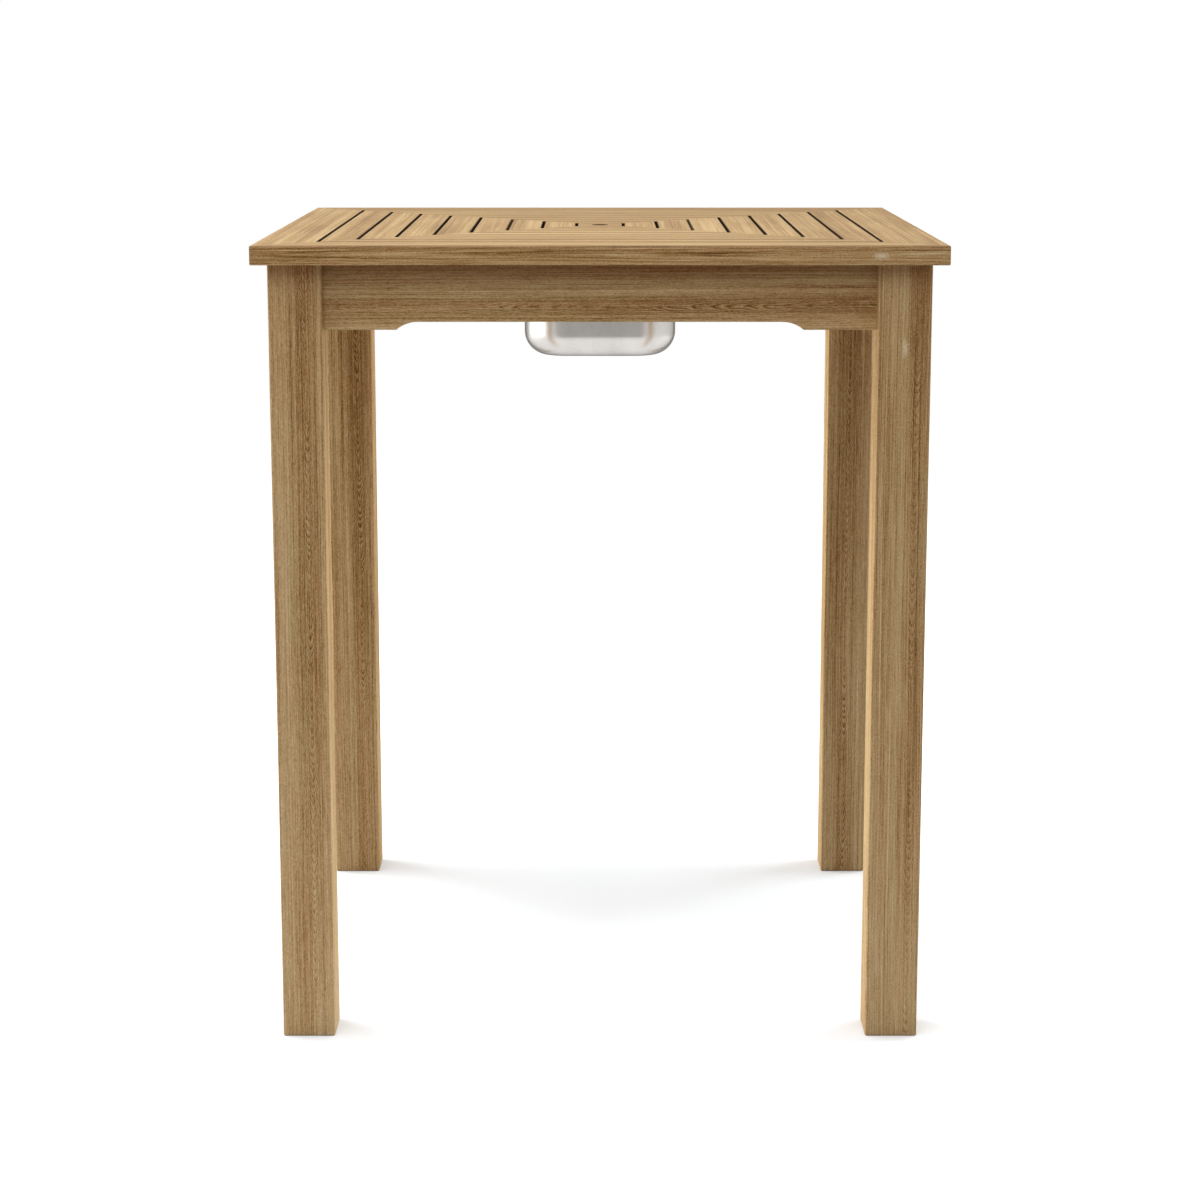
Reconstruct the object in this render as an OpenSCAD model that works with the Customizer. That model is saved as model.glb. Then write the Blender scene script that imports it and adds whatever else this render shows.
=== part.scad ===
// Square bar-height patio table in teak, with a lift-off lid over a drop-in ice tub.
// Lengths are in millimetres. The origin is on the floor under the middle of the top,
// +X points to the right of the front side, +Y to the back and +Z up.

/* [Table] */
// Side length of the square top
table_w = 900; // [840:10:1100]
// Height of the top's upper face above the floor
table_h = 1070; // [720:10:1150]
// Thickness of the top
top_t = 25; // [22:1:32]

/* [Top boards] */
// Width of the outer border boards
border_w = 79; // [72:1:110]
// Number of board rings between the border and the lid
fixed_rings = 5; // [4:1:6]
// Open gap between neighbouring boards
board_gap = 3; // [2:0.5:5]
// Chamfer along the upper edges of the boards
board_ease = 1.2; // [0.5:0.1:2.5]

/* [Lid] */
// Number of board rings on the lid, around its middle square
lid_rings = 2; // [1:1:3]
// Side length of the lid's middle square
lid_middle_w = 64; // [52:1:90]
// Thickness of the lid's boards
lid_board_t = 16; // [12:0.5:18]
// Width of the four battens under the lid
lid_batten_w = 44; // [40:1:50]
// How far the battens' ends stay inside the edge of the tub's flange
lid_batten_back = 1; // [0.5:0.5:4]
// Diameter of the finger hole
finger_hole_d = 24; // [18:1:30]
// How far the lid's edge reaches past the tub's flange
lid_over_flange = 3.5; // [2:0.5:6]

/* [Ice tub] */
// Outside width of the tub
tub_w = 215; // [195:1:235]
// Depth of the tub, outside, from the flange's upper face
tub_depth = 156; // [100:1:200]
// Sheet thickness of the tub
tub_wall = 1; // [0.8:0.1:1.5]
// Outside radius of the tub's upright corners
tub_corner_r = 60; // [42:1:66]
// Outside radius between the tub's walls and bottom
tub_bottom_r = 34; // [15:1:38]
// Width of the flange around the rim
flange_w = 17; // [14:1:20]
// Radius of the bend from the walls out to the flange, under the flange
flange_bend_r = 3; // [2:0.5:4]

/* [Legs] */
// Side of the square legs
leg_w = 70; // [60:1:90]
// Distance from the top's edge to the legs
leg_inset = 20; // [10:1:28]
// Radius of the legs' upright edges
leg_edge_r = 2.5; // [1:0.5:5]
// Chamfer around the legs' lower ends
leg_foot_chamfer = 2; // [1:0.5:4]

/* [Aprons] */
// Thickness of the aprons
apron_t = 22; // [18:1:28]
// Height of the aprons beside the legs
apron_h = 86; // [82:1:120]
// How far the aprons lie behind the legs' outer faces
apron_recess = 15; // [5:1:22]
// Length of the full-height stretch beside each leg
apron_shoulder = 95; // [60:1:140]
// How much the lower edge rises between the shoulders
apron_rise = 10.3; // [5:0.1:20]
// Radius of the curve at each end of the rise
apron_curve_r = 43; // [25:1:80]

/* [Frame under the top] */
// Width of the four rails around the tub
rail_w = 45; // [40:1:60]
// Thickness of the rails and the diagonal battens
rail_t = 25; // [20:1:30]
// Free space between the tub's walls and the rails
tub_clear = 4.5; // [4.5:0.5:8]
// Depth that the rail ends are let into the aprons
rail_housing = 8; // [4:1:12]
// Width of the diagonal battens
diagonal_w = 50; // [44:1:60]
// Free space between the diagonal battens' outer ends and the legs and aprons
diagonal_clear = 0.5; // [0.3:0.1:2]

/* [Corner blocks] */
// Thickness of the corner blocks
block_t = 28; // [24:1:36]
// Height of the corner blocks
block_h = 55; // [50:1:58]
// Length of the flat cut on each leg's inner edge, measured along X plus Y
block_seat = 8; // [5:1:14]
// Height between the two block screws of a side
block_screw_pitch = 28; // [24:1:34]
// Wood left under the heads of the block screws
block_screw_grip = 10; // [8:1:12]

/* [Fasteners] */
// Shank diameter of the screws in rails, battens and blocks
screw_d = 4.5; // [4:0.5:6]
// Head diameter of those screws
screw_head_d = 9; // [8:0.5:11]
// How deep those screws reach into the boards and aprons
screw_bite = 14; // [10:1:16]
// Shank diameter of the lid's screws
lid_screw_d = 3.5; // [3:0.5:4]
// Head diameter of the lid's screws
lid_screw_head_d = 7; // [6:0.5:8]
// How deep the lid's screws reach into its boards
lid_screw_bite = 9; // [6:1:10]
// Height of the flat rim of a countersunk head
head_rim = 0.6; // [0.4:0.1:1]
// Height of the cone of a countersunk head
head_cone = 2.4; // [2:0.1:3]
// Height of a block screw's head
pan_t = 3; // [2.5:0.5:4]
// Thread diameter of the leg bolts
bolt_d = 8; // [6:1:10]
// Width across flats of the bolt heads
bolt_af = 13; // [10:1:17]
// Height of the bolt heads
bolt_head_t = 5.5; // [4:0.5:7]
// Height between the two bolts of a leg
bolt_pitch = 26; // [24:1:32]
// Outside diameter of the bolts' washers
washer_d = 20; // [16:1:22]
// Thickness of the bolts' washers
washer_t = 1.6; // [1:0.1:2.5]
// How far the bolts reach past the inserts
bolt_past = 4; // [2:1:6]
// Outside diameter of the threaded inserts in the legs
insert_d = 12; // [12:1:14]
// Length of the threaded inserts
insert_l = 24; // [15:1:30]

/* [Fits] */
// Radial clearance of screws, inserts and threads in their holes
snug = 0.1; // [0.05:0.05:0.3]
// Clearance around the flange in its seat
flange_clear = 1; // [0.5:0.5:2]
// Radial clearance of the leg bolts in the corner blocks
bolt_clear = 0.5; // [0.3:0.1:1]

/* [Hidden] */
$fn = 64;
over = 1;                              // how far cutting shapes run past what they cut

teak_top = [0.78, 0.65, 0.48];
teak_side = [0.64, 0.52, 0.37];
teak_inner = [0.58, 0.46, 0.32];
steel = [0.78, 0.77, 0.75];
zinc = [0.62, 0.63, 0.64];
brass = [0.78, 0.64, 0.34];

// Heights
deck_z = table_h - top_t;              // underside of the fixed boards, top of legs, aprons and rails
rail_z = deck_z - rail_t;              // underside of rails and diagonal battens, top of the blocks
lid_z = table_h - lid_board_t;         // underside of the lid's boards
lid_batten_t = lid_z - deck_z;         // the battens fill the height from the flange to the boards

// Distances from the middle, outwards
half_top = table_w / 2;
leg_out = half_top - leg_inset;        // outer faces of the legs
leg_in = leg_out - leg_w;              // inner faces of the legs
apron_out = leg_out - apron_recess;
apron_in = apron_out - apron_t;
tub_half = tub_w / 2;
flange_half = tub_half + flange_w;
flange_r = tub_corner_r + flange_w;
lid_half = flange_half + lid_over_flange;
opening_half = lid_half + board_gap;
border_in = half_top - border_w;
ring_w = (border_in - opening_half) / fixed_rings - board_gap;
lid_middle = lid_middle_w / 2;
lid_ring_w = (lid_half - lid_middle) / lid_rings - board_gap;
rail_in = tub_half + tub_clear;
rail_out = rail_in + rail_w;
rail_mid = rail_in + rail_w / 2;
block_out = 2 * leg_in + block_seat;   // |x| + |y| of the blocks' faces on the legs
block_in = block_out - block_t * sqrt(2);

SIDES = ["front", "right", "back", "left"];
CORNERS = ["front_left", "front_right", "back_right", "back_left"];

// Inner distance of board ring k from the middle: ring 0 lies next to the border,
// and on the lid next to its edge.
function ring_inner(k) = border_in - (k + 1) * (ring_w + board_gap);
function lid_inner(k) = lid_half - k * (lid_ring_w + board_gap) - lid_ring_w;

// Turns the front side, or the front left corner, to place i of four.
module at_turn(i) {
    rotate([0, 0, 90 * i]) children();
}

// A square of half side a with corners of radius r.
module rounded_square(a, r) {
    square([2 * a, 2 * (a - r)], center = true);
    square([2 * (a - r), 2 * a], center = true);
    for (sx = [-1, 1])
        for (sy = [-1, 1])
            translate([sx * (a - r), sy * (a - r)]) circle(r);
}

// A board along the front side, mitred at both ends, with its long upper edges eased.
// low_ease also eases the outer lower edge.
module mitred_board(inner, outer, z, thick, low_ease = 0) {
    e = board_ease;
    intersection() {
        translate([0, 0, z])
            linear_extrude(thick)
                polygon([[-outer, -outer], [outer, -outer], [inner, -inner], [-inner, -inner]]);
        translate([-outer - over, 0, z])
            rotate([90, 0, 90])
                linear_extrude(2 * (outer + over))
                    polygon([[-outer, low_ease], [-outer + low_ease, 0], [-inner, 0],
                             [-inner, thick - e], [-inner - e, thick],
                             [-outer + e, thick], [-outer, thick - e]]);
    }
}

// A countersunk wood screw that points up, its head flush with z = 0.
module wood_screw(d, head_d, length) {
    cylinder(d = head_d, h = head_rim);
    translate([0, 0, head_rim]) cylinder(d1 = head_d, d2 = d, h = head_cone);
    cylinder(d = d, h = length);
}

// The hole for that screw.
module wood_screw_hole(d, head_d, length) {
    translate([0, 0, -over]) cylinder(d = head_d + 2 * snug, h = head_rim + over);
    translate([0, 0, head_rim])
        cylinder(d1 = head_d + 2 * snug, d2 = d + 2 * snug, h = head_cone);
    cylinder(d = d + 2 * snug, h = length + snug);
}

// Where the front side's boards are screwed to the rails: one screw over each crossing rail.
function rail_points(y) = [for (sx = [-1, 1]) [sx * rail_mid, -y]];

// The same on the diagonal battens, a quarter of the batten's width inside the mitre.
diagonal_step = diagonal_w / 4 * sqrt(2);
function diagonal_points(y) = [for (sx = [-1, 1]) [sx * (y - diagonal_step), -y]];

// The border is screwed between its inner edge and the apron. Rings that lie over the
// crossings of the rails reach no diagonal batten.
side_points = concat(
    rail_points((border_in + apron_in) / 2),
    [for (k = [0:fixed_rings - 1])
        let (mid = ring_inner(k) + ring_w / 2)
            each concat(rail_points(mid), ring_inner(k) > rail_out ? diagonal_points(mid) : [])]);

module side_screws() {
    for (p = side_points)
        translate([p[0], p[1], rail_z]) wood_screw(screw_d, screw_head_d, rail_t + screw_bite);
}

module side_screw_holes() {
    for (p = side_points)
        translate([p[0], p[1], rail_z]) wood_screw_hole(screw_d, screw_head_d, rail_t + screw_bite);
}

module all_screw_holes() {
    for (i = [0:3]) at_turn(i) side_screw_holes();
}

module board_screws() {
    color(zinc)
        for (i = [0:3]) at_turn(i) side_screws();
}

module border_board(i) {
    color(teak_top)
        at_turn(i)
            difference() {
                mitred_board(border_in, half_top, deck_z, top_t, board_ease);
                side_screw_holes();
            }
}

module ring_board(k, i) {
    color(teak_top)
        at_turn(i)
            difference() {
                mitred_board(ring_inner(k), ring_inner(k) + ring_w, deck_z, top_t);
                side_screw_holes();
            }
}

// Puts z = 0 of a bolt at the block's face on the front left leg, with z into the leg.
module at_bolt(j) {
    z = rail_z - block_h / 2 + (j - 0.5) * bolt_pitch;
    translate([-block_out / 2, -block_out / 2, z])
        rotate([0, 90, 225]) children();
}

// The flat on the front left leg's inner edge that its corner block bears on.
module block_flat() {
    near = -leg_in + over;
    far = -block_out - near;
    translate([0, 0, rail_z - block_h])
        linear_extrude(block_h)
            polygon([[near, near], [near, far], [far, near]]);
}

// Four wedges that chamfer the lower end of a leg that stands around the Z axis.
module foot_chamfers() {
    side = leg_foot_chamfer * sqrt(2);
    for (t = [0:3])
        at_turn(t)
            translate([leg_w / 2, -leg_w, 0])
                rotate([0, 45, 0])
                    translate([-side / 2, 0, -side / 2]) cube([side, 2 * leg_w, side]);
}

module leg(i) {
    middle = -(leg_in + leg_out) / 2;
    color(teak_side)
        at_turn(i)
            difference() {
                translate([middle, middle, 0])
                    difference() {
                        linear_extrude(deck_z) rounded_square(leg_w / 2, leg_edge_r);
                        foot_chamfers();
                    }
                block_flat();
                for (j = [0, 1])
                    at_bolt(j) {
                        translate([0, 0, -over])
                            cylinder(d = insert_d + 2 * snug, h = insert_l + snug + over);
                        cylinder(d = bolt_d + 2 * snug, h = insert_l + bolt_past + snug);
                    }
            }
}

// Outline of an apron from outside: x along it, y up, 0 at the top edge.
module apron_outline() {
    curve_w = sqrt(2 * apron_curve_r * apron_rise - apron_rise * apron_rise);
    level = leg_in - apron_shoulder - curve_w;
    difference() {
        translate([-leg_in, -apron_h]) square([2 * leg_in, apron_h]);
        translate([-level, -apron_h - over]) square([2 * level, apron_rise + over]);
        for (sx = [-1, 1])
            intersection() {
                translate([sx * level, -apron_h + apron_rise - apron_curve_r]) circle(apron_curve_r);
                translate([-leg_in, -apron_h - over]) square([2 * leg_in, apron_rise + 2 * over]);
            }
    }
}

module apron(i) {
    color(teak_side)
        at_turn(i)
            difference() {
                translate([0, -apron_in, deck_z])
                    rotate([90, 0, 0])
                        linear_extrude(apron_t) apron_outline();
                for (sx = [-1, 1])
                    translate([sx * rail_mid - rail_w / 2, -apron_in - rail_housing, rail_z])
                        cube([rail_w, rail_housing + over, rail_t + over]);
                for (m = [0, 1])
                    mirror([m, 0, 0])
                        at_block_screws()
                            cylinder(d = screw_d + 2 * snug, h = block_screw_grip + screw_bite + snug);
            }
}

// Puts z = 0 under the heads of the two screws from the front left block into the front
// apron, with z into the apron.
module at_block_screws() {
    x = apron_in - (block_in + block_out) / 2;
    for (j = [0, 1])
        translate([x, -apron_in + block_screw_grip,
                   rail_z - block_h / 2 + (j - 0.5) * block_screw_pitch])
            rotate([90, 0, 0]) children();
}

// The front left block is the same on the left apron as on the front one.
module both_halves() {
    children();
    mirror([1, -1, 0]) children();
}

module block_screws() {
    color(zinc)
        for (i = [0:3])
            at_turn(i) both_halves() at_block_screws() {
                cylinder(d = screw_d, h = block_screw_grip + screw_bite);
                translate([0, 0, -pan_t]) cylinder(d = screw_head_d, h = pan_t);
            }
}

module corner_block(i) {
    color(teak_inner)
        at_turn(i)
            difference() {
                translate([0, 0, rail_z - block_h])
                    linear_extrude(block_h)
                        polygon([[-apron_in, apron_in - block_out], [-apron_in, apron_in - block_in],
                                 [apron_in - block_in, -apron_in], [apron_in - block_out, -apron_in]]);
                both_halves() at_block_screws() {
                    translate([0, 0, -over])
                        cylinder(d = screw_d + 2 * snug, h = block_screw_grip + 2 * over);
                    translate([0, 0, -block_t]) cylinder(d = screw_head_d + 2 * snug, h = block_t);
                }
                for (j = [0, 1])
                    at_bolt(j)
                        translate([0, 0, -block_t - over])
                            cylinder(d = bolt_d + 2 * bolt_clear, h = block_t + 2 * over);
            }
}

// Hexagon-headed bolts with washers, from inside the corner blocks into the legs' inserts.
module leg_bolts() {
    color(zinc)
        for (i = [0:3])
            for (j = [0, 1])
                at_turn(i) at_bolt(j) translate([0, 0, -block_t - washer_t]) {
                    cylinder(d = washer_d, h = washer_t);
                    translate([0, 0, -bolt_head_t])
                        cylinder(d = bolt_af / cos(30), h = bolt_head_t, $fn = 6);
                    cylinder(d = bolt_d, h = washer_t + block_t + insert_l + bolt_past);
                }
}

module leg_inserts() {
    color(brass)
        for (i = [0:3])
            for (j = [0, 1])
                at_turn(i) at_bolt(j)
                    difference() {
                        cylinder(d = insert_d, h = insert_l);
                        translate([0, 0, -over])
                            cylinder(d = bolt_d + 2 * snug, h = insert_l + 2 * over);
                    }
}

// The shallow seat in the rails that the tub's flange lies in.
module flange_seat() {
    translate([0, 0, deck_z - tub_wall])
        linear_extrude(tub_wall + over)
            rounded_square(flange_half + flange_clear, flange_r + flange_clear);
}

// A rail is halved over the two that cross it: front and back keep their upper half there.
module rail(i) {
    end = apron_in + rail_housing;
    notch_z = i % 2 == 0 ? rail_z - over : rail_z + rail_t / 2;
    color(teak_inner)
        difference() {
            at_turn(i)
                translate([-end, -rail_out, rail_z]) cube([2 * end, rail_w, rail_t]);
            for (t = [0:3])
                at_turn(t)
                    translate([rail_in, rail_in, notch_z]) cube([rail_w, rail_w, rail_t / 2 + over]);
            flange_seat();
            all_screw_holes();
        }
}

// A batten from the crossing of two rails out to a leg, resting on the corner block.
module diagonal_batten(i) {
    half = diagonal_w / 2 * sqrt(2);
    end = leg_in - diagonal_clear;
    reach = apron_in - diagonal_clear;
    color(teak_inner)
        at_turn(i)
            difference() {
                translate([0, 0, rail_z])
                    linear_extrude(rail_t)
                        intersection() {
                            polygon([[-rail_out, -rail_out], [-rail_out, -rail_out - 2 * half],
                                     [-end + half, -end - half], [-end - half, -end + half],
                                     [-rail_out - 2 * half, -rail_out]]);
                            square([2 * reach, 2 * reach], center = true);
                        }
                all_screw_holes();
            }
}

// Where the lid's front boards are screwed to its battens, and the corner of the middle board,
// midway between the battens' inner ends and the board's corner. The screws stand in the inner
// half of the boards, clear of the battens' outer ends.
lid_batten_start = lid_batten_w / 2 + over;
lid_batten_end = (flange_half - flange_r) * sqrt(2)
    + sqrt(flange_r * flange_r - lid_batten_w * lid_batten_w / 4) - lid_batten_back;
lid_step = lid_batten_w / 4 * sqrt(2);
lid_screw_share = 0.35;                // place across a board, from its inner edge
lid_corner = (lid_batten_start / sqrt(2) + lid_middle) / 2;
lid_points = concat(
    [for (k = [0:lid_rings - 1])
        let (y = lid_inner(k) + lid_screw_share * lid_ring_w)
            for (sx = [-1, 1]) [sx * (y - lid_step), -y]],
    [[-lid_corner, -lid_corner]]);

module lid_screws() {
    color(zinc)
        for (i = [0:3])
            at_turn(i)
                for (p = lid_points)
                    translate([p[0], p[1], deck_z])
                        wood_screw(lid_screw_d, lid_screw_head_d, lid_batten_t + lid_screw_bite);
}

module lid_screw_holes() {
    for (i = [0:3])
        at_turn(i)
            for (p = lid_points)
                translate([p[0], p[1], deck_z])
                    wood_screw_hole(lid_screw_d, lid_screw_head_d, lid_batten_t + lid_screw_bite);
}

module lid_ring_board(k, i) {
    color(teak_top)
        difference() {
            at_turn(i) mitred_board(lid_inner(k), lid_inner(k) + lid_ring_w, lid_z, lid_board_t);
            lid_screw_holes();
        }
}

// Section of the middle board, its two upper edges eased.
module middle_section() {
    a = lid_middle;
    t = lid_board_t;
    e = board_ease;
    polygon([[-a, 0], [a, 0], [a, t - e], [a - e, t], [-a + e, t], [-a, t - e]]);
}

module lid_middle_board() {
    color(teak_top)
        difference() {
            translate([0, 0, lid_z])
                intersection() {
                    rotate([90, 0, 0])
                        linear_extrude(lid_middle_w, center = true) middle_section();
                    rotate([90, 0, 90])
                        linear_extrude(lid_middle_w, center = true) middle_section();
                }
            translate([0, 0, lid_z - over]) cylinder(d = finger_hole_d, h = lid_board_t + 2 * over);
            lid_screw_holes();
        }
}

// Four battens under the mitres of the lid. They rest on the flange and leave the middle free.
module lid_battens() {
    color(teak_inner)
        difference() {
            for (i = [0:3])
                at_turn(i)
                    translate([0, 0, deck_z])
                        rotate([0, 0, 225])
                            translate([lid_batten_start, -lid_batten_w / 2, 0])
                                cube([lid_batten_end - lid_batten_start, lid_batten_w, lid_batten_t]);
            lid_screw_holes();
        }
}

// A quarter bend of sheet with inner radius r around [x, z], in the given quadrant.
module sheet_bend(x, z, r, quadrant) {
    translate([x, z])
        intersection() {
            difference() {
                circle(r + tub_wall);
                circle(r);
            }
            rotate(90 * quadrant) square(r + tub_wall + over);
        }
}

// Section of the tub's sheet, outwards from a corner's axis, with z from 0 at the bottom.
module tub_section() {
    foot = tub_corner_r - tub_bottom_r;
    lip_x = tub_corner_r + flange_bend_r;
    lip_z = tub_depth - tub_wall - flange_bend_r;
    square([foot, tub_wall]);
    sheet_bend(foot, tub_bottom_r, tub_bottom_r - tub_wall, 3);
    translate([tub_corner_r - tub_wall, tub_bottom_r]) square([tub_wall, lip_z - tub_bottom_r]);
    sheet_bend(lip_x, lip_z, flange_bend_r, 1);
    translate([lip_x, tub_depth - tub_wall]) square([flange_w - flange_bend_r, tub_wall]);
}

// The tub: its section turned around four corners, drawn along four sides, and a flat middle.
module ice_tub() {
    c = tub_half - tub_corner_r;
    color(steel)
        translate([0, 0, deck_z - tub_depth]) {
            for (i = [0:3])
                at_turn(i)
                    translate([c, c, 0]) {
                        rotate_extrude(angle = 90) tub_section();
                        rotate([90, 0, 0]) linear_extrude(2 * c) tub_section();
                    }
            translate([-c, -c, 0]) cube([2 * c, 2 * c, tub_wall]);
        }
}

for (i = [0:3]) {
    leg(i);
    apron(i);
    corner_block(i);
    rail(i);
    diagonal_batten(i);
    border_board(i);
    for (k = [0:fixed_rings - 1])
        ring_board(k, i);
    for (k = [0:lid_rings - 1])
        lid_ring_board(k, i);
}
lid_middle_board();
lid_battens();
lid_screws();
ice_tub();
board_screws();
block_screws();
leg_bolts();
leg_inserts();
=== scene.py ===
# Looks for a square bar-height teak table with a lift-off lid over a drop-in steel ice tub.
import math
import random

import bpy
from mathutils import Matrix, Vector


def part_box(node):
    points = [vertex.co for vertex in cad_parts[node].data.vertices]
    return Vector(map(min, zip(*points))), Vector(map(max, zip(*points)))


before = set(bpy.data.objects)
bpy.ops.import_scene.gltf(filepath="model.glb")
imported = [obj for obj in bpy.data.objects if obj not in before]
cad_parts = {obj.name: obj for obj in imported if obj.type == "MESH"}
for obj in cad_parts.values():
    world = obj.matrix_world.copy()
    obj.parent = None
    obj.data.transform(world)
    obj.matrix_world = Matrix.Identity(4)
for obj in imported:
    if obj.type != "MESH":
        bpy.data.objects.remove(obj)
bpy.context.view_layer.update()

SCENE = bpy.context.scene
SIDES = ("front", "right", "back", "left")
CORNERS = ("front_left", "front_right", "back_right", "back_left")
OUT = {"front": (0, -1, 0), "right": (1, 0, 0), "back": (0, 1, 0), "left": (-1, 0, 0)}
ALONG = {"front": (1, 0, 0), "right": (0, 1, 0), "back": (-1, 0, 0), "left": (0, -1, 0)}
DIAGONAL = {
    "front_left": (-1, -1, 0),
    "front_right": (1, -1, 0),
    "back_right": (1, 1, 0),
    "back_left": (-1, 1, 0),
}
UP = (0, 0, 1)
DOWN = (0, 0, -1)


# Shader helpers

def add(tree, kind, settings=None, **inputs):
    """Adds a node. An input is a value or another node's output; i0 and i1 name inputs by place."""
    node = tree.nodes.new(kind)
    for key, value in (settings or {}).items():
        setattr(node, key, value)
    for key, value in inputs.items():
        by_place = key[0] == "i" and key[1:].isdigit()
        socket = node.inputs[int(key[1:]) if by_place else key.replace("_", " ")]
        if isinstance(value, bpy.types.NodeSocket):
            tree.links.new(value, socket)
        else:
            socket.default_value = value
    return node


def maths(tree, operation, a, b=0.0, c=0.0, clamp=False):
    settings = {"operation": operation, "use_clamp": clamp}
    return add(tree, "ShaderNodeMath", settings, i0=a, i1=b, i2=c).outputs[0]


def vector_maths(tree, operation, a, b=(0, 0, 0), c=(0, 0, 0), output=0):
    settings = {"operation": operation}
    return add(tree, "ShaderNodeVectorMath", settings, i0=a, i1=b, i2=c).outputs[output]


def noise(tree, vector, waves, detail=2.0, roughness=0.5, output="Fac"):
    """Noise that has so many waves per metre along each axis."""
    stretched = vector_maths(tree, "MULTIPLY", vector, waves)
    node = add(tree, "ShaderNodeTexNoise", Vector=stretched, Scale=1.0, Detail=detail, Roughness=roughness)
    return node.outputs[output]


def noise_line(tree, value, waves, detail=2.0, roughness=0.5):
    """Noise along one number."""
    settings = {"noise_dimensions": "1D"}
    stretched = maths(tree, "MULTIPLY", value, waves)
    node = add(tree, "ShaderNodeTexNoise", settings, W=stretched, Scale=1.0, Detail=detail,
               Roughness=roughness)
    return node.outputs["Fac"]


def ramp(tree, value, stops):
    """A colour ramp of (position, grey) or (position, (r, g, b)) stops."""
    node = add(tree, "ShaderNodeValToRGB", Fac=value)
    elements = node.color_ramp.elements
    while len(elements) < len(stops):
        elements.new(1.0)
    for element, (position, colour) in zip(elements, stops):
        element.position = position
        if isinstance(colour, (int, float)):
            colour = (colour, colour, colour)
        element.color = (*colour, 1.0)
    return node.outputs["Color"]


def blend_colour(tree, share, first, second):
    node = add(tree, "ShaderNodeMix", {"data_type": "RGBA"}, Factor=share)
    for socket, value in ((node.inputs[6], first), (node.inputs[7], second)):
        if isinstance(value, bpy.types.NodeSocket):
            tree.links.new(value, socket)
        else:
            socket.default_value = (*value, 1.0)
    return node.outputs[2]


def new_material(name):
    material = bpy.data.materials.new(name)
    material.use_nodes = True
    material.node_tree.nodes.clear()
    return material, material.node_tree


def output(tree, shader):
    add(tree, "ShaderNodeOutputMaterial", Surface=shader)


def srgb(r, g, b):
    """Linear colour from 0-255 screen values."""
    return tuple(((v / 255 + 0.055) / 1.055) ** 2.4 for v in (r, g, b))


# Teak. Its grain space has the trunk's pith along X, at Y = Z = 0.

FLAME_BAND = (0.007, 0.015)    # the flames around the pith fade out between these radii
HEART_BAND = (0.008, 0.022)    # and the darker heart wood between these
HEART_DARK = 0.16
RING_WANDER = 0.030            # metres that a ring wanders along the trunk
RING_RAGGED = 0.0013           # metres that it wanders across
TEAK = [
    (0.00, srgb(104, 71, 37)),
    (0.25, srgb(150, 113, 70)),
    (0.50, srgb(188, 155, 111)),
    (0.72, srgb(206, 177, 134)),
    (1.00, srgb(230, 209, 176)),
]
# painted shade on the walls of the top's gaps
GAP_SHADE_COLOUR = srgb(32, 18, 8)
# painted shade under the top's overhang
UNDER_TOP_SHADE_COLOUR = srgb(98, 50, 15)
BLEACHED = srgb(204, 193, 164)
SCAR = srgb(230, 208, 172)
RUDDY = (1.045, 0.98, 0.95)    # neighbouring strips are multiplied by tints between these two
OLIVE = (0.985, 1.00, 0.94)


def group_with_sockets(name, numbers):
    group = bpy.data.node_groups.new(name, "ShaderNodeTree")
    face = group.interface
    face.new_socket("Grain", in_out="INPUT", socket_type="NodeSocketVector")
    for number in numbers:
        face.new_socket(number, in_out="INPUT", socket_type="NodeSocketFloat")
    face.new_socket("Color", in_out="OUTPUT", socket_type="NodeSocketColor")
    face.new_socket("Height", in_out="OUTPUT", socket_type="NodeSocketFloat")
    face.new_socket("Roughness", in_out="OUTPUT", socket_type="NodeSocketFloat")
    return group


def bend(group, grain, waves, size):
    """The grain space, shifted across the grain by a slow wave."""
    wave = noise(group, grain, waves, detail=2.0, output="Color")
    wave = vector_maths(group, "SUBTRACT", wave, (0.5, 0.5, 0.5))
    return vector_maths(group, "MULTIPLY_ADD", wave, size, grain)


def heart_distance(group, bent):
    section = vector_maths(group, "MULTIPLY", bent, (0.0, 1.0, 1.0))
    return vector_maths(group, "LENGTH", section, output="Value")


def ring_lines(group, entry, path, radius):
    """Late wood of the growth rings: dark and pale lines, in flames where a ring closes near the face."""
    along = add(group, "ShaderNodeSeparateXYZ", i0=entry["Grain"]).outputs[0]
    uneven = noise_line(group, along, 16.0, detail=2.0)
    climb = maths(group, "MULTIPLY_ADD", uneven, RING_WANDER, along)
    ragged = noise(group, path, (60.0, 260.0, 260.0), detail=2.0)
    edge = maths(group, "MULTIPLY_ADD", ragged, RING_RAGGED, radius)
    edge = maths(group, "SUBTRACT", edge, maths(group, "MULTIPLY", climb, entry["Taper"]))
    phase = maths(group, "FRACT", maths(group, "DIVIDE", edge, entry["Spacing"]))
    dark = ramp(group, phase, [(0.0, 1.0), (0.10, 0.7), (0.28, 0.0), (0.90, 0.0), (1.0, 1.0)])
    pale = ramp(group, phase, [(0.24, 0.0), (0.45, 1.0), (0.75, 0.0)])
    flecks = noise(group, path, (9.0, 200.0, 200.0), detail=3.0)
    flecks = ramp(group, flecks, [(0.38, 0.1), (0.60, 1.0)])
    spells = ramp(group, noise_line(group, along, 5.0, detail=1.0), [(0.36, 0.15), (0.60, 1.1)])
    lines = maths(group, "SUBTRACT", dark, maths(group, "MULTIPLY", pale, 0.6))
    return maths(group, "MULTIPLY", lines, maths(group, "MULTIPLY", flecks, spells))


def band(group, radius, limits):
    """1 inside the first radius, falling to 0 at the second."""
    near, far = limits
    return maths(group, "DIVIDE", maths(group, "SUBTRACT", far, radius), far - near, clamp=True)


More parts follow.
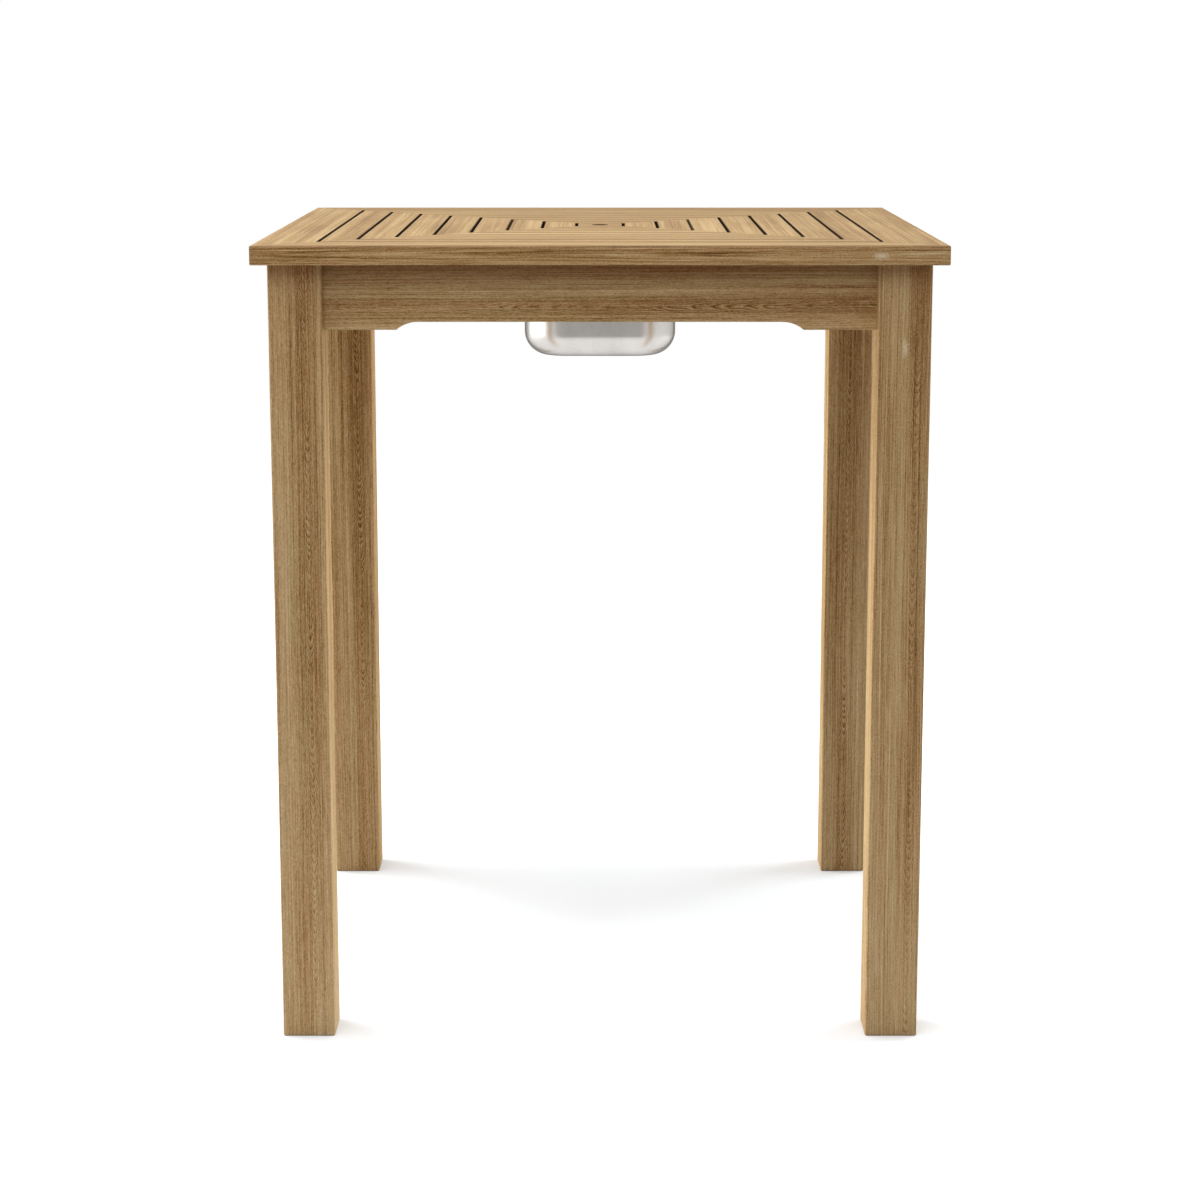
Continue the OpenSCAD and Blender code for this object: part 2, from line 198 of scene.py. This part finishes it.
def teak_group():
    """Teak from a place in grain space. Spacing is the distance of the growth rings in metres, and
    Taper how much wider a ring gets per metre of trunk; the rest are strengths and the mean tone."""
    group = group_with_sockets("teak_grain", ("Spacing", "Taper", "Figure", "Streak", "Bands", "Tone"))
    entry = group.nodes.new("NodeGroupInput").outputs
    path = bend(group, entry["Grain"], (1.0, 3.0, 3.0), (0.0, 0.012, 0.005))
    radius = heart_distance(group, path)
    flames = maths(group, "MULTIPLY_ADD", band(group, radius, FLAME_BAND), 0.8, 0.2)
    lines = maths(group, "MULTIPLY", ring_lines(group, entry, path, radius), entry["Figure"])
    lines = maths(group, "MULTIPLY", lines, flames)

    # Runs of rings differ in tone. Fibres run the board's length, ticks and pores are short.
    rings = maths(group, "DIVIDE", radius, entry["Spacing"])
    runs = noise_line(group, rings, 0.34, detail=3.0, roughness=0.6)
    patches = noise(group, path, (3.6, 15.0, 15.0), detail=3.0, roughness=0.55)
    wide = noise(group, path, (0.9, 42.0, 42.0), detail=2.0)
    strips = noise(group, path, (1.1, 260.0, 260.0), detail=2.0, roughness=0.6)
    tint = noise(group, path, (1.6, 170.0, 170.0), detail=3.0, roughness=0.6)
    fibre = noise(group, path, (3.0, 820.0, 820.0), detail=2.0, roughness=0.5)
    dash = noise(group, path, (32.0, 1100.0, 1100.0), detail=1.0)
    tick = noise(group, entry["Grain"], (330.0, 900.0, 900.0), detail=1.0)
    pores = noise(group, entry["Grain"], (85.0, 1300.0, 1300.0), detail=1.0)
    pores = ramp(group, pores, [(0.58, 0.0), (0.70, 1.0)])

    bands = maths(group, "MULTIPLY", band(group, radius, HEART_BAND), -HEART_DARK)
    for value, weight in ((patches, 0.30), (wide, 0.42), (runs, 0.36), (strips, 0.36)):
        bands = maths(group, "MULTIPLY_ADD", maths(group, "SUBTRACT", value, 0.5), weight, bands)
    tone = maths(group, "MULTIPLY_ADD", bands, entry["Bands"], entry["Tone"])
    streaks = maths(group, "MULTIPLY_ADD", dash, 0.6, fibre)
    streaks = maths(group, "SUBTRACT", maths(group, "MULTIPLY_ADD", tick, 0.7, streaks), 1.15)
    tone = maths(group, "MULTIPLY_ADD", streaks, entry["Streak"], tone)
    tone = maths(group, "SUBTRACT", tone, lines)
    tone = maths(group, "MULTIPLY_ADD", pores, -0.12, tone)
    tint = maths(group, "MULTIPLY_ADD", bands, 0.3, tint)
    tint = blend_colour(group, ramp(group, tint, [(0.38, 0.0), (0.62, 1.0)]), RUDDY, OLIVE)
    colour = vector_maths(group, "MULTIPLY", ramp(group, tone, TEAK), tint)

    height = maths(group, "MULTIPLY_ADD", fibre, 0.6, maths(group, "MULTIPLY", pores, -0.5))
    height = maths(group, "MULTIPLY_ADD", lines, -0.6, height)
    rough = maths(group, "MULTIPLY_ADD", dash, 0.20, 0.70)

    leave = group.nodes.new("NodeGroupOutput").inputs
    group.links.new(colour, leave["Color"])
    group.links.new(height, leave["Height"])
    group.links.new(rough, leave["Roughness"])
    return group


GRAIN = teak_group()


# Weather and use, with painted shade in the gaps and under the top and painted floor bounce light

TOP_HALF, _, TOP_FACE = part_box("border_board_front")[1]
RIM = 0.001                    # upright faces further in than this are the walls of the top's gaps
UPRIGHT = 0.97                 # rounded edges count as upright while their normal rises less than this
GAP_SHADE = 0.98                # share of painted shade on the walls of the gaps
GAP_LIP = 0.0003               # how far down those walls stay free of the painted shade
LID_EDGE = -(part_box("ring5_board_front")[1][1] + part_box("lid_ring1_board_front")[0][1]) / 2
LID_GAP = 0.0025               # walls this near to LID_EDGE, the middle of the lid's gap, get less painted shade
LID_SHADE_CUT = 0.26               # how much less painted shade those get
UNDER_TOP_SHADE_BAND = (0.995, 1.038)    # the frame's painted shade under the top starts and is full at these heights
FLOOR_BOUNCE_TOP = 0.93                # painted floor bounce light: the legs get lighter and lighter below this height
SCAR_SHARE = 0.8               # how far a scar's colour covers the wood
SCAR_RAGGED = 2.0              # how strongly its edge is frayed


def upward(tree):
    """1 on faces that look up and 0 on upright and lower ones."""
    normal = add(tree, "ShaderNodeTexCoord").outputs["Normal"]
    rise = add(tree, "ShaderNodeSeparateXYZ", i0=normal).outputs[2]
    return ramp(tree, rise, [(0.35, 0.0), (0.85, 1.0)])


def gap_wall_shade(tree):
    """Share of painted shade on the walls of the top's gaps: less round the lid, whose edges show when it
    is lifted off, and none elsewhere."""
    source = add(tree, "ShaderNodeTexCoord").outputs
    rise = add(tree, "ShaderNodeSeparateXYZ", i0=source["Normal"]).outputs[2]
    upright = maths(tree, "LESS_THAN", maths(tree, "ABSOLUTE", rise), UPRIGHT)
    place = add(tree, "ShaderNodeSeparateXYZ", i0=source["Object"]).outputs
    reach = maths(tree, "MAXIMUM", maths(tree, "ABSOLUTE", place[0]), maths(tree, "ABSOLUTE", place[1]))
    walls = maths(tree, "MULTIPLY", upright, maths(tree, "LESS_THAN", reach, TOP_HALF - RIM))
    sunk = maths(tree, "DIVIDE", maths(tree, "SUBTRACT", TOP_FACE, place[2]), GAP_LIP, clamp=True)
    near_lid = maths(tree, "COMPARE", reach, LID_EDGE, LID_GAP)
    share = maths(tree, "MULTIPLY_ADD", near_lid, -LID_SHADE_CUT, GAP_SHADE)
    return maths(tree, "MULTIPLY", maths(tree, "MULTIPLY", walls, sunk), share)


def grain_space(tree, centre, along, out, heart, start):
    """Grain space for one board. along is the grain's direction and out the main face's; heart is the
    place of the trunk's middle, across the board and outwards; start shifts the pattern along it."""
    along = Vector(along).normalized()
    out = Vector(out).normalized()
    turn = Matrix((along, out.cross(along), out))
    place = Vector((start, -heart[0], -heart[1])) - turn @ Vector(centre)
    position = add(tree, "ShaderNodeTexCoord").outputs["Object"]
    mapping = add(tree, "ShaderNodeMapping", {"vector_type": "POINT"}, Vector=position,
                  Location=place, Rotation=turn.to_euler("XYZ"))
    return mapping.outputs[0]


def grime(tree, height, most):
    """Share of painted shade on a frame board close under the top's overhang."""
    start, full = UNDER_TOP_SHADE_BAND
    rise = maths(tree, "DIVIDE", maths(tree, "SUBTRACT", height, start), full - start, clamp=True)
    return maths(tree, "MULTIPLY", maths(tree, "POWER", rise, 2.5), most)


def scar(tree, centre, half):
    """Share of pale bruised wood in a ragged patch on a front face. centre and half are along X and Z."""
    position = add(tree, "ShaderNodeTexCoord").outputs["Object"]
    shift = vector_maths(tree, "SUBTRACT", position, (centre[0], 0.0, centre[1]))
    shift = vector_maths(tree, "MULTIPLY", shift, (1.0 / half[0], 0.0, 1.0 / half[1]))
    away = vector_maths(tree, "LENGTH", shift, output="Value")
    ragged = noise(tree, position, (420.0, 420.0, 420.0), detail=3.0)
    inside = maths(tree, "MULTIPLY_ADD", ragged, SCAR_RAGGED, away)
    inside = maths(tree, "SUBTRACT", 0.1 + SCAR_RAGGED, inside, clamp=True)
    return maths(tree, "MULTIPLY", inside, SCAR_SHARE)


def grain_values(tree, look, tone, height):
    """Strengths and tone for the grain: the look's own, other on the top's face, where a lower tone is
    painted shade, and a higher tone near the floor as painted floor bounce light.
    """
    values = {"Tone": tone, "Figure": look["figure"], "Streak": look["streak"], "Bands": look["bands"]}
    if "top" in look:
        up = upward(tree)
        for key, gain in look["top"].items():
            values[key] = maths(tree, "MULTIPLY_ADD", up, gain, values[key])
    # painted floor bounce light: a higher tone low on the legs
    if "floor_bounce" in look:
        low = maths(tree, "SUBTRACT", 1.0, maths(tree, "DIVIDE", height, FLOOR_BOUNCE_TOP), clamp=True)
        values["Tone"] = maths(tree, "MULTIPLY_ADD", low, look["floor_bounce"], values["Tone"])
    return values


def weathered_and_shaded(tree, colour, look, height, mark):
    """A board's colour with the sun's bleaching, painted shade in the top's gaps and under the top, and
    the scars laid over it.
    """
    if "bleached" in look:
        share = maths(tree, "MULTIPLY", upward(tree), look["bleached"])
        colour = blend_colour(tree, share, colour, BLEACHED)
        # painted shade on the walls of the top's gaps
        colour = blend_colour(tree, gap_wall_shade(tree), colour, GAP_SHADE_COLOUR)
    # painted shade on the frame close under the top's overhang
    if "grime" in look:
        colour = blend_colour(tree, grime(tree, height, look["grime"]), colour, UNDER_TOP_SHADE_COLOUR)
    if mark:
        colour = blend_colour(tree, scar(tree, *mark), colour, SCAR)
    return colour


def teak(name, place, look, tone, spacing, mark=None):
    """Teak for one board, whose grain space is given by place and whose scar by mark."""
    material, tree = new_material(name)
    position = add(tree, "ShaderNodeTexCoord").outputs["Object"]
    height = add(tree, "ShaderNodeSeparateXYZ", i0=position).outputs[2]
    grain = add(tree, "ShaderNodeGroup", {"node_tree": GRAIN}, Grain=grain_space(tree, *place),
                Spacing=spacing, Taper=look["taper"], **grain_values(tree, look, tone, height))
    colour = weathered_and_shaded(tree, grain.outputs["Color"], look, height, mark)
    bump = add(tree, "ShaderNodeBump", Strength=0.25, Distance=0.0003, Height=grain.outputs["Height"])
    shader = add(tree, "ShaderNodeBsdfPrincipled", Base_Color=colour, Roughness=grain.outputs["Roughness"],
                 Specular_IOR_Level=0.05, Normal=bump.outputs[0])
    output(tree, shader.outputs[0])
    return material


def finish_node(node, material, bevel=0.0):
    """Gives a CAD node its material and rounds its sharp edges a little."""
    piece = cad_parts[node]
    piece.data.materials.clear()
    piece.data.materials.append(material)
    if bevel:
        edge = piece.modifiers.new("edges", "BEVEL")
        edge.width = bevel
        edge.segments = 2
        edge.limit_method = "ANGLE"
        edge.angle_limit = math.radians(40)


def middle(node):
    low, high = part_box(node)
    return (Vector(low) + Vector(high)) / 2


# across and out are the ranges of a look for the trunk's middle, seen from the board's own middle.
# spacing and taper are the rings', figure, streak and bands are strengths, tone is from 0 to 1, top is
# added on faces that look up (its lower tone is painted shade), painted floor bounce light is added near
# the floor, and bevel is the width of the rounded edges.
TOP_LOOK = {
    "across": (0.01, 0.06),
    "out": (-0.06, -0.015),
    "spacing": 0.0032,
    "taper": 0.010,
    "figure": 0.42,
    "streak": 0.86,
    "bands": 0.85,
    "tone": 0.485,
    # faces that look up get a lower tone: painted shade that dims the top under these lamps
    "top": {"Streak": -0.24, "Bands": 0.45, "Tone": -0.115},
    "bleached": 0.20,
    "bevel": 0.00015,
}
FRAME_LOOK = {
    "across": (0.004, 0.014),
    "out": (0.003, 0.006),
    "spacing": 0.0014,
    "taper": 0.065,
    "figure": 0.38,
    "streak": 0.88,
    "bands": 1.1,
    "tone": 0.535,
    # painted shade under the top's overhang
    "grime": 0.54,
    "bevel": 0.0008,
}
# the legs get painted shade close under the top and painted floor bounce light near the floor
LEG_LOOK = dict(FRAME_LOOK, out=(0.026, 0.030), taper=0.12, grime=0.35, floor_bounce=0.13)
INNER_LOOK = {
    "across": (0.01, 0.08),
    "out": (-0.08, -0.02),
    "spacing": 0.0032,
    "taper": 0.020,
    "figure": 0.30,
    "streak": 0.75,
    "bands": 1.0,
    "tone": 0.45,
    "bevel": 0.0008,
}

HEARTS = {
    # the trunk's middle across and outwards in some boards, for flames where the photograph has them
    "leg_front_left": (-0.012, 0.029),
    "leg_front_right": (-0.019, 0.024),
    "leg_back_right": (0.000, 0.029),
    "leg_back_left": (-0.012, 0.029),
    "apron_front": (-0.012, 0.005),
    "border_board_front": (-0.034, 0.0015),
}

TONES = {
    # boards that are lighter or darker than their neighbours
    "border_board_left": 0.05,
    "border_board_back": -0.08,
    "leg_front_right": -0.05,
    "leg_back_left": -0.12,
    "leg_back_right": -0.08,
}

MARKS = {
    # pale scars on two show faces: place and half size, along X and Z
    "leg_front_right": ((0.396, 0.936), (0.0052, 0.0135)),
    "border_board_front": ((0.361, 1.0575), (0.0115, 0.0052)),
}

chance = random.Random(11)


def board(node, along, out, look):
    """One board, cut from its own place in the trunk."""
    heart = (chance.choice((-1, 1)) * chance.uniform(*look["across"]), chance.uniform(*look["out"]))
    tone = look["tone"] + TONES.get(node, chance.uniform(-0.03, 0.03))
    start = chance.uniform(-4.0, 4.0)
    spacing = look["spacing"] * chance.uniform(0.9, 1.15)
    place = (middle(node), along, out, HEARTS.get(node, heart), start)
    wood = teak("wood_" + node, place, look, tone, spacing, MARKS.get(node))
    finish_node(node, wood, look["bevel"])


def finish_wood():
    for side in SIDES:
        board("border_board_" + side, ALONG[side], UP, TOP_LOOK)
        for ring in range(1, 6):
            board("ring%d_board_%s" % (ring, side), ALONG[side], UP, TOP_LOOK)
        for ring in (1, 2):
            board("lid_ring%d_board_%s" % (ring, side), ALONG[side], UP, TOP_LOOK)
        board("apron_" + side, ALONG[side], OUT[side], FRAME_LOOK)
        board("rail_" + side, ALONG[side], DOWN, INNER_LOOK)
    board("lid_middle_board", (1, 0, 0), UP, TOP_LOOK)
    board("lid_battens", (1, 1, 0), DOWN, INNER_LOOK)
    for corner in CORNERS:
        board("leg_" + corner, UP, OUT["front"], LEG_LOOK)
        board("corner_block_" + corner, UP, DIAGONAL[corner], INNER_LOOK)
        board("diagonal_batten_" + corner, DIAGONAL[corner], DOWN, INNER_LOOK)


# Metals

def drawn_steel():
    """Satin stainless sheet: fine brushing round the walls, faint waves and a few dull smears."""
    material, tree = new_material("tub_steel")
    position = add(tree, "ShaderNodeTexCoord").outputs["Object"]
    brush = noise(tree, position, (60.0, 60.0, 2600.0), detail=3.0, roughness=0.6)
    waves = noise(tree, position, (14.0, 14.0, 18.0), detail=2.0)
    smears = noise(tree, position, (30.0, 30.0, 12.0), detail=4.0, roughness=0.6)
    colour = ramp(tree, smears, [(0.3, srgb(208, 205, 201)), (0.7, srgb(224, 221, 217))])
    rough = maths(tree, "MULTIPLY_ADD", brush, 0.08, 0.22)
    rough = maths(tree, "MULTIPLY_ADD", smears, 0.06, rough)
    height = maths(tree, "MULTIPLY_ADD", brush, 0.01, waves)
    bump = add(tree, "ShaderNodeBump", Strength=0.15, Distance=0.0012, Height=height)
    shader = add(tree, "ShaderNodeBsdfPrincipled", Base_Color=colour, Metallic=1.0, Roughness=rough,
                 Specular_Tint=(0.2, 0.2, 0.2, 1.0), Normal=bump.outputs[0])
    output(tree, shader.outputs[0])
    return material


def plated(name, base, dull, roughness):
    """Plated or turned metal with a mottled coat that is nowhere smoother than the given roughness."""
    material, tree = new_material(name)
    position = add(tree, "ShaderNodeTexCoord").outputs["Object"]
    mottle = noise(tree, position, (350.0, 350.0, 350.0), detail=4.0, roughness=0.6)
    colour = ramp(tree, mottle, [(0.35, dull), (0.65, base)])
    rough = maths(tree, "MULTIPLY_ADD", mottle, 0.3, roughness)
    bump = add(tree, "ShaderNodeBump", Strength=0.2, Distance=0.0001, Height=mottle)
    shader = add(tree, "ShaderNodeBsdfPrincipled", Base_Color=colour, Metallic=1.0, Roughness=rough,
                 Normal=bump.outputs[0])
    output(tree, shader.outputs[0])
    return material


def finish_metal():
    zinc = plated("zinc_plate", srgb(196, 198, 200), srgb(150, 153, 158), 0.18)
    finish_node("ice_tub", drawn_steel())
    for node in ("board_screws", "block_screws", "leg_bolts", "lid_screws"):
        finish_node(node, zinc)
    finish_node("leg_inserts", plated("brass", srgb(214, 176, 104), srgb(170, 132, 70), 0.2))


# Studio: pale floor, white surroundings, soft boxes and the photograph's camera

FLOOR_HALF = 6.0
FLOOR_PAINT = (0.785, 0.798, 0.817)
MIRROR_PAINT = 0.20            # the floor's grey as metal reflects it, with less of the lamps' pools
MIRROR_GLOW = 0.93
GLOW_NEAR = 0.38               # white added to the floor by the object, so that its shadow stays soft
GLOW_REACH = (0.5, 1.5)        # metres from the middle, where that rises to full white
CONTACT = 0.38                 # how much the painted contact shadow darkens the floor where something stands on it
CONTACT_REACH = 0.10           # and how far around that the floor still darkens
AMBIENT = 0.06                 # strength of the world's white light on the object
WHITE = (1.0, 1.0, 1.0)
COOL = (0.90, 0.96, 1.0)
SOFTBOXES = {
    # name: (place, width, height, power in watts, colour, whether metal reflects it)
    "box_left": ((-3.0, 1.3, 1.1), 2.2, 1.8, 118.0, COOL, False),
    "box_right": ((3.0, 1.3, 1.1), 2.2, 1.8, 112.0, COOL, False),
    "box_shine": ((-3.0, -0.1, 0.9), 3.4, 2.4, 37.0, WHITE, True),
    "box_top": ((-0.3, 0.0, 3.4), 2.2, 2.2, 46.0, WHITE, False),
    "box_top_front": ((-0.2, -0.9, 3.4), 2.2, 1.6, 18.0, WHITE, False),
    "box_front_high": ((-0.4, -2.2, 3.4), 2.2, 1.4, 23.0, WHITE, False),
    "box_front": ((-0.4, -2.9, 2.7), 2.0, 1.2, 12.0, WHITE, False),
}
AIM = Vector((0.0, 0.0, 0.6))
CARD_HALF = 1.35               # a grey card before the table: half its width, its place and heights
CARD_Y = -2.4
CARD_Z = (0.02, 0.95)
CARD_PAINT = (0.29, 0.28, 0.272, 1.0)
CAMERA_PLACE = (0.0, -4.113, 1.3172)
CAMERA_DROP = 10.96            # degrees that the camera looks down
CAMERA_LENS = 85.3             # focal length and width of the sensor, in millimetres
CAMERA_SENSOR = 36.0


def soft_box(name, place, width, height, power, colour, mirrored):
    light = bpy.data.lights.new(name, "AREA")
    light.shape = "RECTANGLE"
    light.size = width
    light.size_y = height
    light.energy = power
    light.color = colour
    holder = bpy.data.objects.new(name, light)
    holder.location = place
    holder.rotation_euler = (AIM - Vector(place)).to_track_quat("-Z", "Y").to_euler()
    holder.visible_glossy = mirrored
    SCENE.collection.objects.link(holder)


def seen(tree):
    """1 for camera, glossy and transmission rays, 0 for diffuse ones."""
    rays = add(tree, "ShaderNodeLightPath").outputs
    value = maths(tree, "MAXIMUM", rays["Is Camera Ray"], rays["Is Glossy Ray"])
    return maths(tree, "MAXIMUM", value, rays["Is Transmission Ray"])


def set_world():
    world = bpy.data.worlds.new("studio")
    world.use_nodes = True
    tree = world.node_tree
    tree.nodes.clear()
    strength = maths(tree, "MULTIPLY_ADD", seen(tree), 1.0 - AMBIENT, AMBIENT)
    back = add(tree, "ShaderNodeBackground", Color=(1, 1, 1, 1), Strength=strength)
    add(tree, "ShaderNodeOutputWorld", Surface=back.outputs[0])
    SCENE.world = world


def stage_sheet(name, corners, material):
    mesh = bpy.data.meshes.new(name)
    mesh.from_pydata(corners, [], [(0, 1, 2, 3)])
    mesh.materials.append(material)
    sheet = bpy.data.objects.new(name, mesh)
    SCENE.collection.objects.link(sheet)
    return sheet


def contact_shade(tree):
    """Painted contact shadow: 1 on the open floor, and less close to what stands on it."""
    near = add(tree, "ShaderNodeAmbientOcclusion", {"samples": 8}, Distance=CONTACT_REACH)
    return maths(tree, "MULTIPLY_ADD", near.outputs["AO"], CONTACT, 1.0 - CONTACT)


def camera_glow(tree, contact):
    """White that only the camera sees: little under the table, full further out."""
    place = add(tree, "ShaderNodeTexCoord").outputs["Object"]
    away = vector_maths(tree, "LENGTH", place, output="Value")
    near, far = GLOW_REACH
    rise = maths(tree, "DIVIDE", maths(tree, "SUBTRACT", away, near), far - near, clamp=True)
    glow = maths(tree, "MULTIPLY_ADD", rise, 1.0 - GLOW_NEAR, GLOW_NEAR)
    is_camera = add(tree, "ShaderNodeLightPath").outputs["Is Camera Ray"]
    return maths(tree, "MULTIPLY", maths(tree, "MULTIPLY", glow, contact), is_camera)


def floor_material():
    """Pale floor that keeps the table's shadow and is an even white in the steel's reflections."""
    material, tree = new_material("floor")
    rays = add(tree, "ShaderNodeLightPath").outputs
    mirrored = maths(tree, "MAXIMUM", rays["Is Glossy Ray"], rays["Is Transmission Ray"])
    contact = contact_shade(tree)
    plain = add(tree, "ShaderNodeVectorMath", {"operation": "SCALE"}, i0=FLOOR_PAINT, Scale=contact)
    paint = blend_colour(tree, mirrored, plain.outputs[0], (MIRROR_PAINT,) * 3)
    diffuse = add(tree, "ShaderNodeBsdfDiffuse", Color=paint)
    glow = maths(tree, "MULTIPLY_ADD", mirrored, MIRROR_GLOW, camera_glow(tree, contact))
    white = add(tree, "ShaderNodeEmission", Strength=glow)
    output(tree, add(tree, "ShaderNodeAddShader", i0=diffuse.outputs[0], i1=white.outputs[0]).outputs[0])
    return material


def add_floor():
    half = FLOOR_HALF
    corners = [(-half, -half, 0.0), (half, -half, 0.0), (half, half, 0.0), (-half, half, 0.0)]
    stage_sheet("floor", corners, floor_material())


def add_card():
    """The card that the tub's front reflects, and that the camera doesn't see."""
    low, high = CARD_Z
    material, tree = new_material("card")
    output(tree, add(tree, "ShaderNodeBsdfDiffuse", Color=CARD_PAINT).outputs[0])
    corners = [(-CARD_HALF, CARD_Y, low), (CARD_HALF, CARD_Y, low),
               (CARD_HALF, CARD_Y, high), (-CARD_HALF, CARD_Y, high)]
    card = stage_sheet("card", corners, material)
    card.visible_camera = False


def add_camera():
    """The photograph's camera, found by fitting the table's edges."""
    camera = bpy.data.cameras.new("camera")
    camera.lens = CAMERA_LENS
    camera.sensor_width = CAMERA_SENSOR
    camera.sensor_fit = "HORIZONTAL"
    holder = bpy.data.objects.new("camera", camera)
    holder.location = CAMERA_PLACE
    holder.rotation_euler = (math.radians(90.0 - CAMERA_DROP), 0.0, 0.0)
    SCENE.collection.objects.link(holder)
    SCENE.camera = holder


finish_wood()
finish_metal()
for name, settings in SOFTBOXES.items():
    soft_box(name, *settings)
set_world()
add_floor()
add_card()
add_camera()
SCENE.view_settings.view_transform = "Standard"
